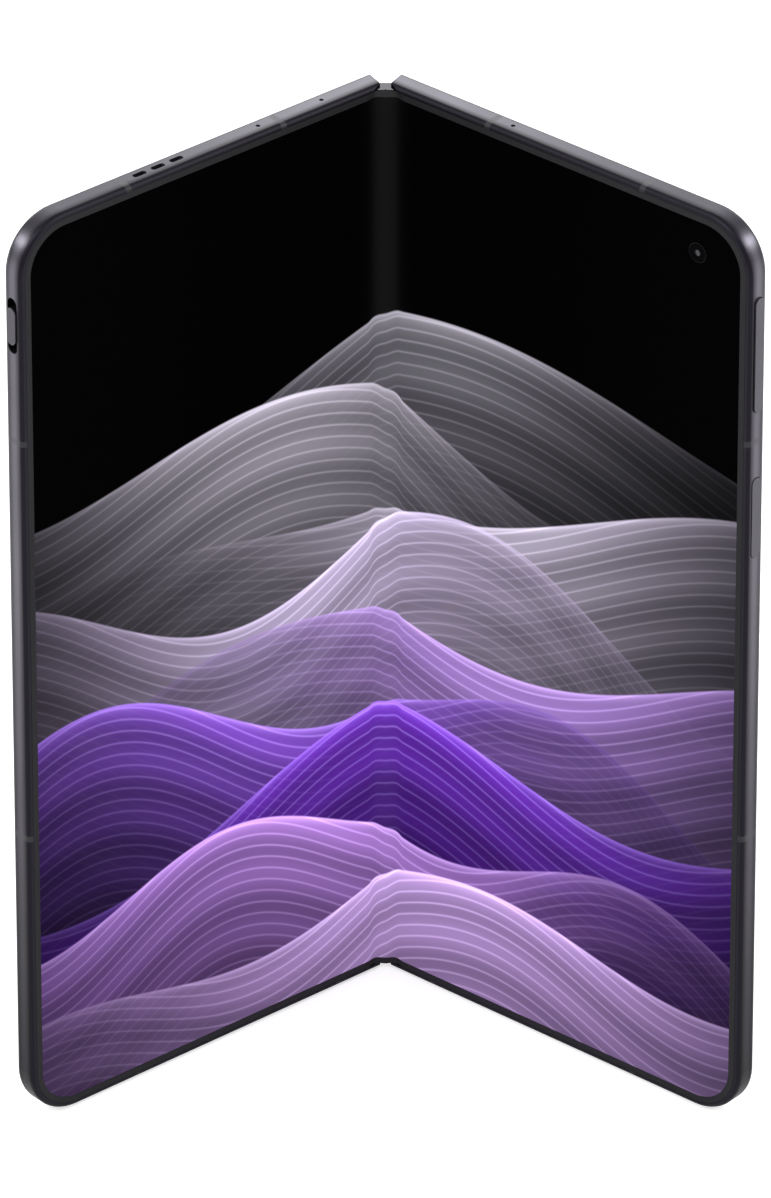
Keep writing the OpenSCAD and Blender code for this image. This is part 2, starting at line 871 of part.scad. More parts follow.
module cover_glass() {
    color([0.05, 0.05, 0.06]) seat_left() slab(back_rim_w + seat_gap, back_start + seat_gap,
                                               back_front, body_t);
}

module cover_camera() {
    color(black) seat_left() {
        block(cover_cam_s, cover_cam_z, cover_cam_w, cover_cam_w, 0.6, part_d, part_d + 0.8);
        peg(cover_cam_s, cover_cam_z, cover_cam_r, part_d + 0.8 - eps, back_front - 0.02);
    }
}

// ---- right half ----

module right_frame() {
    color(metal) seat_right() half_frame() {
        side_slot(volume_z, volume_l + 2 * button_gap, button_w + 2 * button_gap);
        side_slot(power_z, power_l + 2 * button_gap, button_w + 2 * button_gap);
        top_hole(break_inner + 3.5, hole_r);
        peg(inner_cam_s, inner_cam_z, inner_cam_r + 0.6, 0, mid_back + eps);
        to_bottom() {
            top_slot(tray_s, tray_w + 2 * button_gap, button_w + 2 * button_gap);
            top_hole(port_hole_s, hole_r);
            for (s = low_slots) top_slot(s, slot_l, slot_w);
        }
        translate([port_s, over + wall_w, -port_d]) rotate([90, 0, 0])
            linear_extrude(wall_w + 2 * over) rounded(port_w, port_h, port_h / 2 - eps);
        block(port_s, wall_w + port_depth / 2 + 0.3, port_w + 0.6, port_depth + 0.8, 0.5,
              mid_front - eps, mid_back + eps);
    }
}

module right_antenna_breaks() {
    color(dark_metal) seat_right() antenna_breaks();
}

module right_bezel() {
    color(dark_metal) seat_right() half_bezel();
}

module right_display() {
    color(black) seat_right() difference() {
        half_display();
        peg(inner_cam_s, inner_cam_z, inner_cam_r, -1, 1);
    }
}

module right_display_plate() {
    color(steel) seat_right() difference() {
        half_display_plate();
        peg(inner_cam_s, inner_cam_z, inner_cam_r + 0.3, -1, 1);
    }
}

// Selfie camera behind the display hole
module inner_camera() {
    color(black) seat_right() {
        peg(inner_cam_s, inner_cam_z, inner_cam_r - 0.15, display_back - 0.2, mid_back + 0.2);
        block(inner_cam_s, inner_cam_z, inner_cam_w, inner_cam_w, 0.6,
              mid_back + 0.1, part_back - 0.4);
    }
}

module right_battery() {
    color([0.12, 0.12, 0.13]) seat_right() battery(charging_high + wire_gap, main_low - part_gap);
}

// Main board: an L round the camera modules, with shield cans over its chips
module main_board() {
    high = camera_low - part_gap;
    split = part_in + 0.45 * (part_out - part_in);
    middle = (high + part_high) / 2;
    color(board_green) seat_right() {
        difference() {
            union() {
                span(part_in, part_out, main_low, high, 1, part_d, part_d + board_t);
                span(part_in, camera_in, high - 4, part_high, 1, part_d, part_d + board_t);
            }
            for (s = [part_in + 2, part_out - 2]) board_hole(s, main_low + 2);
        }
        shield_can(part_in + can_edge, split - 2, main_low + 2, high - 2);
        shield_can(split, part_out - can_edge, main_low + 2, high - 2);
        shield_can(part_in + 3, camera_in - 2, high + 1, middle - 1);
        shield_can(part_in + 3, camera_in - 2, middle + 1, part_high - 2);
    }
}

module charging_board() {
    middle = (part_in + part_out) / 2;
    color(board_green) seat_right() {
        difference() {
            span(part_in, part_out, charging_low, charging_high, 1, part_d, part_d + board_t);
            for (s = [part_in + 2, part_out - 2]) board_hole(s, charging_high - 2);
        }
        shield_can(middle + can_edge, part_out - can_edge, charging_low + 3, charging_high - 3);
        shield_can(middle - 8, middle + 2, charging_low + 4, charging_high - 3);
    }
}

// Charging receptacle: drawn steel shell with a contact tongue
module charging_port() {
    color(steel) seat_right() translate([port_s, 0, -port_d]) {
        difference() {
            translate([0, wall_w + port_depth, 0]) rotate([90, 0, 0])
                linear_extrude(port_depth - 0.05)
                rounded(port_w + 0.2, port_h + 0.2, port_h / 2 + 0.1 - eps);
            translate([0, wall_w + port_depth - 1, 0]) rotate([90, 0, 0])
                linear_extrude(port_depth) rounded(port_w, port_h, port_h / 2 - eps);
        }
        translate([0, wall_w + port_depth - 1 + eps, 0]) rotate([90, 0, 0])
            linear_extrude(tongue_l) rounded(tongue_w, 0.7, 0.3);
    }
}

module bottom_speaker() {
    color([0.1, 0.1, 0.11]) seat_right() {
        span(break_s + 0.4, break_s + 0.4 + speaker_w, part_low + 1, charging_low - part_gap, 1,
             part_d, part_back);
    }
}

// Steel cage that guides the card tray
module card_reader() {
    color(steel) seat_right() difference() {
        block(tray_s, wall_w + 0.1 + reader_depth / 2, tray_w + 0.4, reader_depth, 0.2,
              tray_d - 0.9, tray_d + 0.9);
        block(tray_s, wall_w - 0.3 + reader_depth / 2, tray_w - 0.2, reader_depth, 0.1,
              tray_d - 0.7, tray_d + 0.7);
    }
}

module back_panel() {
    color([0.3, 0.3, 0.33]) seat_right() difference() {
        slab(back_rim_w + seat_gap, back_start + seat_gap, back_front, body_t);
        block(island_s, island_z, island_w - 4, island_w - 4, island_r - 2,
              back_front - 1, body_t + 1);
    }
}

// Raised plinth with a stepped bevel, open where each lens and the flash look out
module camera_island() {
    color(metal) seat_right() difference() {
        union() {
            block(island_s, island_z, island_w, island_w, island_r,
                  body_t, body_t + island_t * 0.6);
            block(island_s, island_z, island_w - 1.2, island_w - 1.2, island_r - 0.6,
                  body_t + island_t * 0.6 - eps, body_t + island_t * 0.85);
            for (p = lens_places) {
                translate([island_s + p[0], island_z + p[1], -body_t - island_t])
                    lens_collar();
            }
        }
        for (p = lens_places) {
            peg(island_s + p[0], island_z + p[1], lens_r, 0, body_t + island_t + 1);
        }
        peg(island_s + flash_place[0], island_z + flash_place[1], 2.6,
            0, body_t + island_t + 1);
    }
}

module lens_collar() {
    rotate_extrude() polygon([
        [lens_r - 0.2, 0],
        [lens_r + 0.7, 0],
        [lens_r + 1.1, 0.3],
        [lens_r + 1.1, island_t],
        [lens_r - 0.2, island_t]
    ]);
}

module camera_modules() {
    color(black) seat_right() for (p = lens_places) {
        s = island_s + p[0];
        z = island_z + p[1];
        block(s, z, module_w, module_w, 1, part_d, back_front - 0.2);
        peg(s, z, lens_r - 0.6, back_front - 0.2 - eps, body_t + island_t - 0.75);
    }
}

module camera_lenses() {
    color([0.06, 0.07, 0.1]) seat_right() for (p = lens_places) {
        peg(island_s + p[0], island_z + p[1], lens_r - 0.05,
            body_t + island_t - 0.7, body_t + island_t - 0.1);
    }
}

module camera_flash() {
    color([0.95, 0.93, 0.85]) seat_right() {
        s = island_s + flash_place[0];
        z = island_z + flash_place[1];
        peg(s, z, 2.5, back_front - eps, body_t + island_t * 0.85 - 0.05);
        block(s, z, 6, 6, 0.6, part_d, back_front);
    }
}

// ---- what moves in the frame ----

// Cap in the wall's slot with a flange behind the wall, so that it can't fall out
module side_key(z, length, out, flange_l) {
    translate([cavity_s - flange_gap - eps, z, -side_mid]) rotate([0, 90, 0])
        linear_extrude(wall_w + flange_gap + out + eps)
        rounded(button_w, length, button_w / 2 - eps);
    translate([cavity_s - flange_gap - flange_t, z, -side_mid]) rotate([0, 90, 0])
        linear_extrude(flange_t) rounded(button_w - 0.3, flange_l, 0.5);
}

// The rocker tips on a half-round rib at the back of its flange
module volume_rocker() {
    color(metal) seat_right() {
        side_key(volume_z, volume_l, button_out, volume_l + 1.2);
        translate([cavity_s - flange_gap - flange_t, volume_z, -side_mid - 0.7])
            cylinder(r = rocker_rib_r, h = 1.4);
    }
}

module power_button() {
    color(metal) seat_right() side_key(power_z, power_l, power_out, power_l + 1.2);
}

module alert_slider() {
    color(metal) seat_left() side_key(slider_z, slider_l, button_out, slider_slot_l + 0.6);
}

// Card tray with two card recesses, behind a face flush with the frame
module card_tray() {
    color(metal) seat_right() difference() {
        union() {
            translate([tray_s, wall_w, -side_mid]) rotate([90, 0, 0])
                linear_extrude(wall_w - 0.02)
                rounded(tray_w, button_w, button_w / 2 - eps);
            block(tray_s, wall_w - eps + tray_depth / 2, tray_w - 0.6, tray_depth, 0.2,
                  tray_d - tray_t / 2, tray_d + tray_t / 2);
        }
        for (side = [-1, 1]) {
            block(tray_s, wall_w + tray_depth / 2 + 0.3, 12.3, 8.8, 1,
                  side < 0 ? tray_d - 1 : tray_d + 0.15, side < 0 ? tray_d - 0.15 : tray_d + 1);
        }
        translate([tray_s - tray_w / 2 + 1.4, wall_w + 1, -side_mid]) rotate([90, 0, 0])
            cylinder(r = 0.4, h = wall_w + 2);
    }
}

spine_cover();
hinge_brackets();
hinge_pins();
friction_discs();
bracket_screws();
centre_strip();
hinge_flex_cables();
display_fold();
fold_trim();
idler_gears_left();
idler_gears_right();
left_frame();
left_antenna_breaks();
left_bezel();
left_display();
left_display_plate();
left_hinge_arms();
left_arm_screws();
left_battery();
left_board();
top_speaker();
vibration_motor();
cover_screen();
cover_glass();
cover_camera();
right_frame();
right_antenna_breaks();
right_bezel();
right_display();
right_display_plate();
right_hinge_arms();
right_arm_screws();
right_battery();
main_board();
charging_board();
charging_port();
bottom_speaker();
card_reader();
inner_camera();
back_panel();
camera_island();
camera_modules();
camera_lenses();
camera_flash();
volume_rocker();
power_button();
alert_slider();
card_tray();
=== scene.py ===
"""Dresses the half-open folding phone: display, materials, small details, light and camera.

Lengths in this script's tables are millimetres in the half's own coordinates, as in the CAD source:
s across a half from the fold line, z up the phone and d in depth from the front face.
"""
import json
from math import cos, pi, radians, sin

import bmesh
import bpy
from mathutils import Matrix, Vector


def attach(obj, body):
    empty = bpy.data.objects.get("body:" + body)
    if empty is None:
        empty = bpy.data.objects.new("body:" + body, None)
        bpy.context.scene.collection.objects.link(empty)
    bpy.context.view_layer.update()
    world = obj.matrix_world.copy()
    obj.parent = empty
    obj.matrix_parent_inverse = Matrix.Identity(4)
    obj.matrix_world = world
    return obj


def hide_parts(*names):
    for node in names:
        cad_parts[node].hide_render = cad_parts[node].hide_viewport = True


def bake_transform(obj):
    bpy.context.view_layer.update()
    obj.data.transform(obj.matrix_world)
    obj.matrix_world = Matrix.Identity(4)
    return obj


MM = 0.001
HEIGHT = 160.9
HALF = 72.8
THICK = 4.2
CORNER = 8.8
FOLD = radians(40)
AXIS_S = 2.0
AXIS_D = 1.75
Y_SHIFT = 20.0164
FOLD_HALF = 4.4
LIP = 0.1
DISPLAY_BACK = 0.38
DISPLAY_EDGE = 1.6
RIM = 0.9
BEZEL_IN = 2.0
CAMERA_S = HALF - 10.5
CAMERA_Z = HEIGHT - 7.6
CAMERA_R = 1.8
BREAK_S = HALF - 21.3
SLOT_STEP = 3.6
PORT_S = HALF / 2
PORT_D = 2.2
MODULE_D = 1.35
MODULE_TOP = 3.4
CABLE_D = 1.45
CABLE_END = 9.2
CABLE_Z = [22 + (HEIGHT - 44) * k / 4 for k in (1, 3)]
ISLAND_S = HALF - 23.8
ISLAND_Z = HEIGHT - 26.0
ISLAND_T = 2.0
LENSES = [(-8.2, 8.2), (8.2, 8.2), (-8.2, -8.2)]
COLLAR_R = 7.1
COLLAR_FOOT = THICK + 1.7
COVER_CAMERA = (HALF / 2, HEIGHT - 9.9)
COVER_CAMERA_R = 2.0
COVER_IN = 6.0
SELFIE_LENS_R = 0.5
LENS_GLASS_GAP = 0.78
PICTURE_W = 160.0
PICTURE_H = 170.0
FLASH = (8.2, -8.2)
LEFT, RIGHT = -1, 1
SIDES = {LEFT: "left_half", RIGHT: "right_half"}

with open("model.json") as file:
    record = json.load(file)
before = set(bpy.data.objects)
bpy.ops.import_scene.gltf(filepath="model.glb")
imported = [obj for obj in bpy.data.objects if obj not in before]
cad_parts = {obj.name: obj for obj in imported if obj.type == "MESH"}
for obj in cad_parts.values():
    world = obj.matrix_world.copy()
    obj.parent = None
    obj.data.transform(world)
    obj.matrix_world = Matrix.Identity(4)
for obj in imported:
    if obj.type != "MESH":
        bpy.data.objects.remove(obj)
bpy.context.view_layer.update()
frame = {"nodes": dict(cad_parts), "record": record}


# ---- places ----

def turned(s, d, angle):
    """x and y, in mm, of a right half's point after a turn about the fold axis."""
    c, n = cos(angle), sin(angle)
    return (
        AXIS_S + (s - AXIS_S) * c + (d - AXIS_D) * n,
        AXIS_D - (s - AXIS_S) * n + (d - AXIS_D) * c + Y_SHIFT,
    )


def at(side, s, z, d):
    """Row-frame place of a half's point, in metres."""
    x, y = turned(s, d, FOLD)
    return Vector((side * x, y, z)) * MM


FOLD_START = (0.0, Y_SHIFT + LIP)
FOLD_END = turned(FOLD_HALF, LIP, FOLD)


def fold_weight(x, y):
    ex, ey = FOLD_END[0] - FOLD_START[0], FOLD_END[1] - FOLD_START[1]
    t = ((x - FOLD_START[0]) * ex + (y - FOLD_START[1]) * ey) / (ex * ex + ey * ey)
    t = min(max(t, 0.0), 1.0)
    return t * t * (3 - 2 * t)


def bent(side, s, z, d):
    """Row-frame place of a point of the fold zone, turned by a share of the fold that grows smoothly
    from the fold line to the flat part.
    """
    w = min(s / FOLD_HALF, 1.0)
    for _ in range(60):
        x, y = turned(s, d, FOLD * w)
        w = 0.5 * (w + fold_weight(x, y))
    x, y = turned(s, d, FOLD * w)
    return Vector((side * x, y, z)) * MM


# ---- node trees ----

class Nodes:
    """Short calls that add shader nodes and link them."""

    def __init__(self, tree):
        self.tree = tree

    def add(self, kind, **inputs):
        node = self.tree.nodes.new(kind)
        for name, value in inputs.items():
            self.put(node, name, value)
        return node

    def put(self, node, name, value):
        socket = node.inputs[name] if isinstance(name, int) else node.inputs[name.replace("_", " ")]
        if isinstance(value, bpy.types.NodeSocket):
            self.tree.links.new(value, socket)
        else:
            socket.default_value = value

    def math(self, kind, a, b=None, c=None, clamp=False):
        node = self.tree.nodes.new("ShaderNodeMath")
        node.operation = kind
        node.use_clamp = clamp
        for i, value in enumerate((a, b, c)):
            if value is not None:
                self.put(node, i, value)
        return node.outputs[0]

    def step(self, value, low, high, to_low=0.0, to_high=1.0):
        """Smooth step of a value between two bounds."""
        node = self.tree.nodes.new("ShaderNodeMapRange")
        node.interpolation_type = "SMOOTHSTEP"
        for name, number in (("Value", value), ("From Min", low), ("From Max", high),
                             ("To Min", to_low), ("To Max", to_high)):
            self.put(node, name, number)
        return node.outputs["Result"]

    def mix(self, share, a, b, kind="MIX"):
        node = self.tree.nodes.new("ShaderNodeMix")
        node.data_type = "RGBA"
        node.blend_type = kind
        self.put(node, 0, share)
        self.put(node, 6, rgba(a))
        self.put(node, 7, rgba(b))
        return node.outputs[2]

    def noise(self, vector, scale, detail=3.0, rough=0.5):
        node = self.add("ShaderNodeTexNoise", Vector=vector, Scale=scale, Detail=detail,
                        Roughness=rough)
        return node.outputs["Fac"]

    def split(self, vector):
        return self.add("ShaderNodeSeparateXYZ", Vector=vector).outputs

    def joined(self, x, y, z):
        return self.add("ShaderNodeCombineXYZ", X=x, Y=y, Z=z).outputs[0]


def rgba(value):
    if isinstance(value, tuple) and len(value) == 3:
        return (*value, 1.0)
    return value


def linear(*levels):
    """Scene colour of a 0-255 display colour."""
    out = []
    for level in levels:
        v = level / 255
        out.append(v / 12.92 if v <= 0.04045 else ((v + 0.055) / 1.055) ** 2.4)
    return tuple(out)


def material(name, metallic=0.0, specular=0.5, ior=1.5, coat=0.0, coat_rough=0.05,
             transmission=0.0):
    """A new material with its Principled shader, and the calls to fill it."""
    made = bpy.data.materials.new(name)
    made.use_nodes = True
    n = Nodes(made.node_tree)
    shader = made.node_tree.nodes["Principled BSDF"]
    shader.inputs["Metallic"].default_value = metallic
    shader.inputs["Specular IOR Level"].default_value = specular
    shader.inputs["IOR"].default_value = ior
    shader.inputs["Coat Weight"].default_value = coat
    shader.inputs["Coat Roughness"].default_value = coat_rough
    shader.inputs["Transmission Weight"].default_value = transmission
    return made, n, shader


def object_mm(n):
    """The rest place of a surface point, in mm."""
    place = n.add("ShaderNodeTexCoord").outputs["Object"]
    scale = n.add("ShaderNodeVectorMath", **{"Vector": place})
    scale.operation = "SCALE"
    scale.inputs["Scale"].default_value = 1 / MM
    return scale.outputs[0]


def half_place(n):
    """s, z and d of a surface point of either half, in mm."""
    x, y, z = n.split(object_mm(n))[:3]
    across = n.math("SUBTRACT", n.math("ABSOLUTE", x), AXIS_S)
    back = n.math("SUBTRACT", y, AXIS_D + Y_SHIFT)
    s = n.math("SUBTRACT", n.math("MULTIPLY", across, cos(FOLD)),
               n.math("MULTIPLY", back, sin(FOLD)))
    d = n.math("ADD", n.math("MULTIPLY", across, sin(FOLD)),
               n.math("MULTIPLY", back, cos(FOLD)))
    return n.math("ADD", s, AXIS_S), z, n.math("ADD", d, AXIS_D)


def grey(n, level):
    return n.joined(level, level, level)


def bump(n, shader, height, strength, distance):
    node = n.add("ShaderNodeBump", Height=height, Strength=strength, Distance=distance)
    n.put(shader, "Normal", node.outputs[0])


# ---- materials ----

def satin_metal(name, colour, rough, spread, grain):
    """Blasted and anodised metal: fine grain in colour, roughness and relief."""
    made, n, shader = material(name, metallic=1.0, specular=0.5)
    place = object_mm(n)
    fine = n.noise(place, 9.0, 4.0)
    cloud = n.noise(place, 0.12, 2.0)
    tone = n.math("ADD", n.math("MULTIPLY", fine, 0.5), n.math("MULTIPLY", cloud, 0.5))
    low = tuple(c * (1 - spread) for c in colour)
    high = tuple(c * (1 + spread) for c in colour)
    n.put(shader, "Base Color", n.mix(n.step(tone, 0.3, 0.7), low, high))
    n.put(shader, "Roughness", n.step(fine, 0.3, 0.7, rough - 0.04, rough + 0.04))
    bump(n, shader, n.noise(place, 22.0, 2.0), grain, 0.00002)
    return made, n, shader


# Painted shade on the frame's flanks: their level at the foot, the height where it is full, and the
# middle and width, in depth, of a painted darker reflection line along them
PAINTED_SHADE_FOOT = 0.15
PAINTED_SHADE_FULL_Z = 95.0
PAINTED_DIP_D = 3.2
PAINTED_DIP_W = 0.55


def edge_painted_light(name, metallic, painted_lit_inner, painted_shade_outer, flank, chamfer, front):
    """The frame's edge, with painted light: painted shade darkens the ends away from the fold and
    the flanks downwards, with a painted highlight on the back edge and painted shade on the chamfer
    and the front rim."""
    made, n, shader = material(name, metallic=metallic, specular=0.4)
    place = object_mm(n)
    s, z, d = half_place(n)
    fine = n.noise(place, 9.0, 4.0)
    cloud = n.noise(place, 0.1, 2.0)
    tone = n.math("ADD", n.math("MULTIPLY", fine, 0.4), n.math("MULTIPLY", cloud, 0.6))
    spread = n.step(tone, 0.3, 0.7, 0.93, 1.07)
    # painted shade: the ends go from a lit colour near the fold to a darker one towards the corners
    painted_shade_along = n.step(s, 4.0, HALF - CORNER)
    side = n.step(s, HALF - CORNER / 2, HALF - 0.3)
    metal = n.mix(side, n.mix(painted_shade_along, linear(*painted_lit_inner), linear(*painted_shade_outer)), linear(*flank))
    # painted shade: the flanks darken towards the foot
    lift = n.math("MULTIPLY_ADD", z, (1 - PAINTED_SHADE_FOOT) / PAINTED_SHADE_FULL_Z, PAINTED_SHADE_FOOT, clamp=True)
    painted_shade_low = n.math("ADD", n.math("MULTIPLY", side, n.math("SUBTRACT", lift, 1.0)), 1.0)
    # painted reflection: a darker line along the flanks, part way back in depth
    from_painted_dip = n.math("DIVIDE", n.math("SUBTRACT", d, PAINTED_DIP_D), PAINTED_DIP_W)
    painted_dip = n.math("EXPONENT", n.math("MULTIPLY", n.math("MULTIPLY", from_painted_dip, from_painted_dip), -1.0))
    painted_dip_dim = n.math("SUBTRACT", 1.0, n.math("MULTIPLY", n.math("MULTIPLY", painted_dip, side), 0.5))
    # painted highlight on the back edge and painted shade dimming towards the front
    level = n.math("MULTIPLY", n.step(d, 0.6, 1.9, 0.3, 1.0), n.step(d, 3.5, THICK, 1.0, 1.7))
    level = n.math("MULTIPLY", n.math("MULTIPLY", level, painted_dip_dim), n.math("MULTIPLY", painted_shade_low, spread))
    metal = n.mix(1.0, metal, grey(n, level), "MULTIPLY")
    # painted shade: dark chamfer and dark front rim
    edge = n.mix(n.step(d, 0.03, 0.16), linear(*front), linear(*chamfer))
    beyond = n.step(d, 0.55, 0.75)
    n.put(shader, "Base Color", n.mix(beyond, edge, metal))
    rough = n.math("ADD", n.step(fine, 0.3, 0.7, -0.03, 0.03), n.step(beyond, 0.0, 1.0, 0.46, 0.36))
    n.put(shader, "Roughness", rough)
    bump(n, shader, n.noise(place, 20.0, 2.0), 0.1, 0.00002)
    return made


def key_ridges():
    """Key metal with the fine ridges of the alert slider across its cap."""
    made, n, shader = satin_metal("ridged_key", linear(98, 96, 103), 0.34, 0.06, 0.0)
    z = n.split(object_mm(n))[2]
    ridge = n.math("PINGPONG", z, 0.22)
    bump(n, shader, ridge, 0.5, 0.0003)
    return made


def dull_plastic(name, dark, light, rough, scale, relief=0.1, specular=0.4):
    made, n, shader = material(name, specular=specular)
    place = object_mm(n)
    fine = n.noise(place, scale, 3.0)
    n.put(shader, "Base Color", n.mix(n.step(fine, 0.3, 0.7), dark, light))
    n.put(shader, "Roughness", n.step(fine, 0.3, 0.7, rough - 0.05, rough + 0.05))
    bump(n, shader, fine, relief, 0.00002)
    return made


def away_from(n, s, z, middle):
    """Distance in mm of a half's point from a middle in its plane."""
    ds = n.math("SUBTRACT", s, middle[0])
    dz = n.math("SUBTRACT", z, middle[1])
    return n.math("SQRT", n.math("ADD", n.math("MULTIPLY", ds, ds), n.math("MULTIPLY", dz, dz)))


def from_lenses(n, s, z):
    """Distance in mm of a point of the right half from the nearest rear lens's middle."""
    near = 100.0
    for ds, dz in LENSES:
        near = n.math("MINIMUM", near, away_from(n, s, z, (ISLAND_S + ds, ISLAND_Z + dz)))
    return near


def island_metal():
    """Camera island: a darker satin plate with brighter machined lens collars."""
    made, n, shader = material("camera_island_metal", metallic=1.0, specular=0.5)
    place = object_mm(n)
    s, z, d = half_place(n)
    near = from_lenses(n, s, z)
    collar = n.math("MULTIPLY", n.step(near, COLLAR_R - 0.02, COLLAR_R + 0.08, 1.0, 0.0),
                    n.step(d, COLLAR_FOOT, COLLAR_FOOT + 0.06))
    fine = n.noise(place, 9.0, 4.0)
    plate = n.mix(n.step(fine, 0.3, 0.7), linear(74, 72, 80), linear(82, 80, 88))
    turned_mark = n.math("PINGPONG", near, 0.09)
    ring = n.mix(n.step(turned_mark, 0.0, 0.09), linear(128, 126, 135), linear(146, 144, 153))
    n.put(shader, "Base Color", n.mix(collar, plate, ring))
    n.put(shader, "Roughness", n.step(collar, 0.0, 1.0, 0.36, 0.22))
    bump(n, shader, n.noise(place, 22.0, 2.0), 0.08, 0.00002)
    return made


def outer_glass():
    """Glass of the cover display: black border, panel a shade lighter, lens spot at the top."""
    made, n, shader = material("cover_display_glass", specular=0.2, coat=0.1, coat_rough=0.03)
    s, z, d = half_place(n)
    rim_s = n.math("ABSOLUTE", n.math("SUBTRACT", s, (HALF + COVER_IN) / 2))
    rim_z = n.math("ABSOLUTE", n.math("SUBTRACT", z, HEIGHT / 2))
    inside = n.math("MULTIPLY", n.step(rim_s, HALF / 2 - 5.6, HALF / 2 - 5.5, 1.0, 0.0),
                    n.step(rim_z, HEIGHT / 2 - 3.1, HEIGHT / 2 - 3.0, 1.0, 0.0))
    away = away_from(n, s, z, COVER_CAMERA)
    panel = n.mix(inside, linear(4, 4, 5), linear(13, 13, 16))
    spot = n.mix(n.step(away, 0.7, 1.3), linear(34, 34, 66), linear(3, 3, 4))
    spot = n.mix(n.step(away, COVER_CAMERA_R - 0.3, COVER_CAMERA_R - 0.25), spot,
                 linear(62, 61, 66))
    n.put(shader, "Base Color",
          n.mix(n.step(away, COVER_CAMERA_R - 0.05, COVER_CAMERA_R + 0.05), spot, panel))
    n.put(shader, "Roughness", n.step(n.noise(object_mm(n), 6.0, 3.0), 0.3, 0.7, 0.05, 0.1))
    return made


def gloss_glass(name, dark, light, rough):
    """Dark glass with a clear coat and the faintest haze."""
    made, n, shader = material(name, specular=0.5, coat=0.6, coat_rough=0.03)
    place = object_mm(n)
    cloud = n.noise(place, 0.06, 2.0)
    speck = n.noise(place, 6.0, 3.0)
    n.put(shader, "Base Color", n.mix(n.step(cloud, 0.3, 0.7), dark, light))
    n.put(shader, "Roughness", n.step(speck, 0.3, 0.7, rough, rough + 0.06))
    return made


def back_glass():
    """Etched rear glass: a silky gradient with sparkle fine as dust."""
    made, n, shader = material("etched_back_glass", specular=0.5, coat=0.15, coat_rough=0.25)
    place = object_mm(n)
    s, z, d = half_place(n)
    sweep = n.math("ADD", n.math("MULTIPLY", s, 0.008), n.math("MULTIPLY", z, 0.004))
    speck = n.noise(place, 14.0, 2.0)
    tone = n.math("ADD", sweep, n.math("MULTIPLY", speck, 0.25), clamp=True)
    n.put(shader, "Base Color", n.mix(tone, linear(66, 64, 74), linear(98, 95, 108)))
    n.put(shader, "Roughness", n.step(speck, 0.3, 0.7, 0.34, 0.44))
    bump(n, shader, speck, 0.08, 0.00002)
    return made


def board_green():
    """Solder mask with a pattern of traces and pads."""
    made, n, shader = material("board_mask", specular=0.5)
    s, z, d = half_place(n)
    grid = n.joined(n.math("MULTIPLY", s, 0.9), n.math("MULTIPLY", z, 0.9), d)
    cells = n.add("ShaderNodeTexVoronoi", Vector=grid, Scale=1.0)
    cells.distance = "CHEBYCHEV"
    edge = n.step(cells.outputs["Distance"], 0.28, 0.33)
    lines = n.math("FRACT", n.math("MULTIPLY", n.math("ADD", s, z), 1.3))
    trace = n.step(lines, 0.12, 0.18)
    base = n.mix(trace, linear(28, 70, 52), linear(16, 46, 36))
    n.put(shader, "Base Color", n.mix(edge, linear(92, 94, 96), base))
    n.put(shader, "Roughness", n.step(edge, 0.0, 1.0, 0.3, 0.5))
    return made


def battery_foil():
    made, n, shader = material("pouch_foil", specular=0.3)
    place = object_mm(n)
    crease = n.noise(place, 0.5, 4.0)
    n.put(shader, "Base Color", n.mix(n.step(crease, 0.3, 0.7), linear(26, 26, 29),
                                      linear(46, 46, 50)))
    n.put(shader, "Roughness", n.step(crease, 0.3, 0.7, 0.35, 0.5))
    bump(n, shader, crease, 0.3, 0.0002)
    return made


def ribbon():
    """Polyimide cable with its copper runs."""
    made, n, shader = material("ribbon_cable", specular=0.5)
    z = n.split(object_mm(n))[2]
    runs = n.step(n.math("PINGPONG", z, 0.35), 0.12, 0.2)
    n.put(shader, "Base Color", n.mix(runs, linear(176, 112, 48), linear(98, 58, 22)))
    n.put(shader, "Roughness", n.step(runs, 0.0, 1.0, 0.3, 0.45))
    return made


def lens_glass():
    """Coated lens window: dark and glossy, clearer over the lens behind its middle."""
    made, n, shader = material("coated_lens", specular=0.3, ior=1.6, coat=0.2, coat_rough=0.02)
    s, z, d = half_place(n)
    near = from_lenses(n, s, z)
    sweep = n.noise(n.joined(s, z, d), 0.18, 1.0)
    n.put(shader, "Base Color", n.mix(n.step(sweep, 0.35, 0.65), linear(9, 10, 20),
                                      linear(14, 12, 28)))
    n.put(shader, "Roughness", n.step(sweep, 0.3, 0.7, 0.02, 0.06))
    n.put(shader, "Alpha", n.step(near, 3.4, 4.6, 0.35, 0.95))
    return made


def flash_lens():
    """Frosted flash window with moulded rings."""
    made, n, shader = material("flash_window", specular=0.5, coat=0.4, coat_rough=0.05)
    s, z, d = half_place(n)
    r = away_from(n, s, z, (ISLAND_S + FLASH[0], ISLAND_Z + FLASH[1]))
    rings = n.math("PINGPONG", r, 0.17)
    core = n.step(r, 0.4, 1.1)
    n.put(shader, "Base Color", n.mix(core, linear(228, 206, 138), linear(196, 193, 184)))
    n.put(shader, "Roughness", n.step(rings, 0.0, 0.17, 0.12, 0.35))
    bump(n, shader, rings, 0.4, 0.0002)
    return made


# ---- the display picture: overlapping silk waves ----

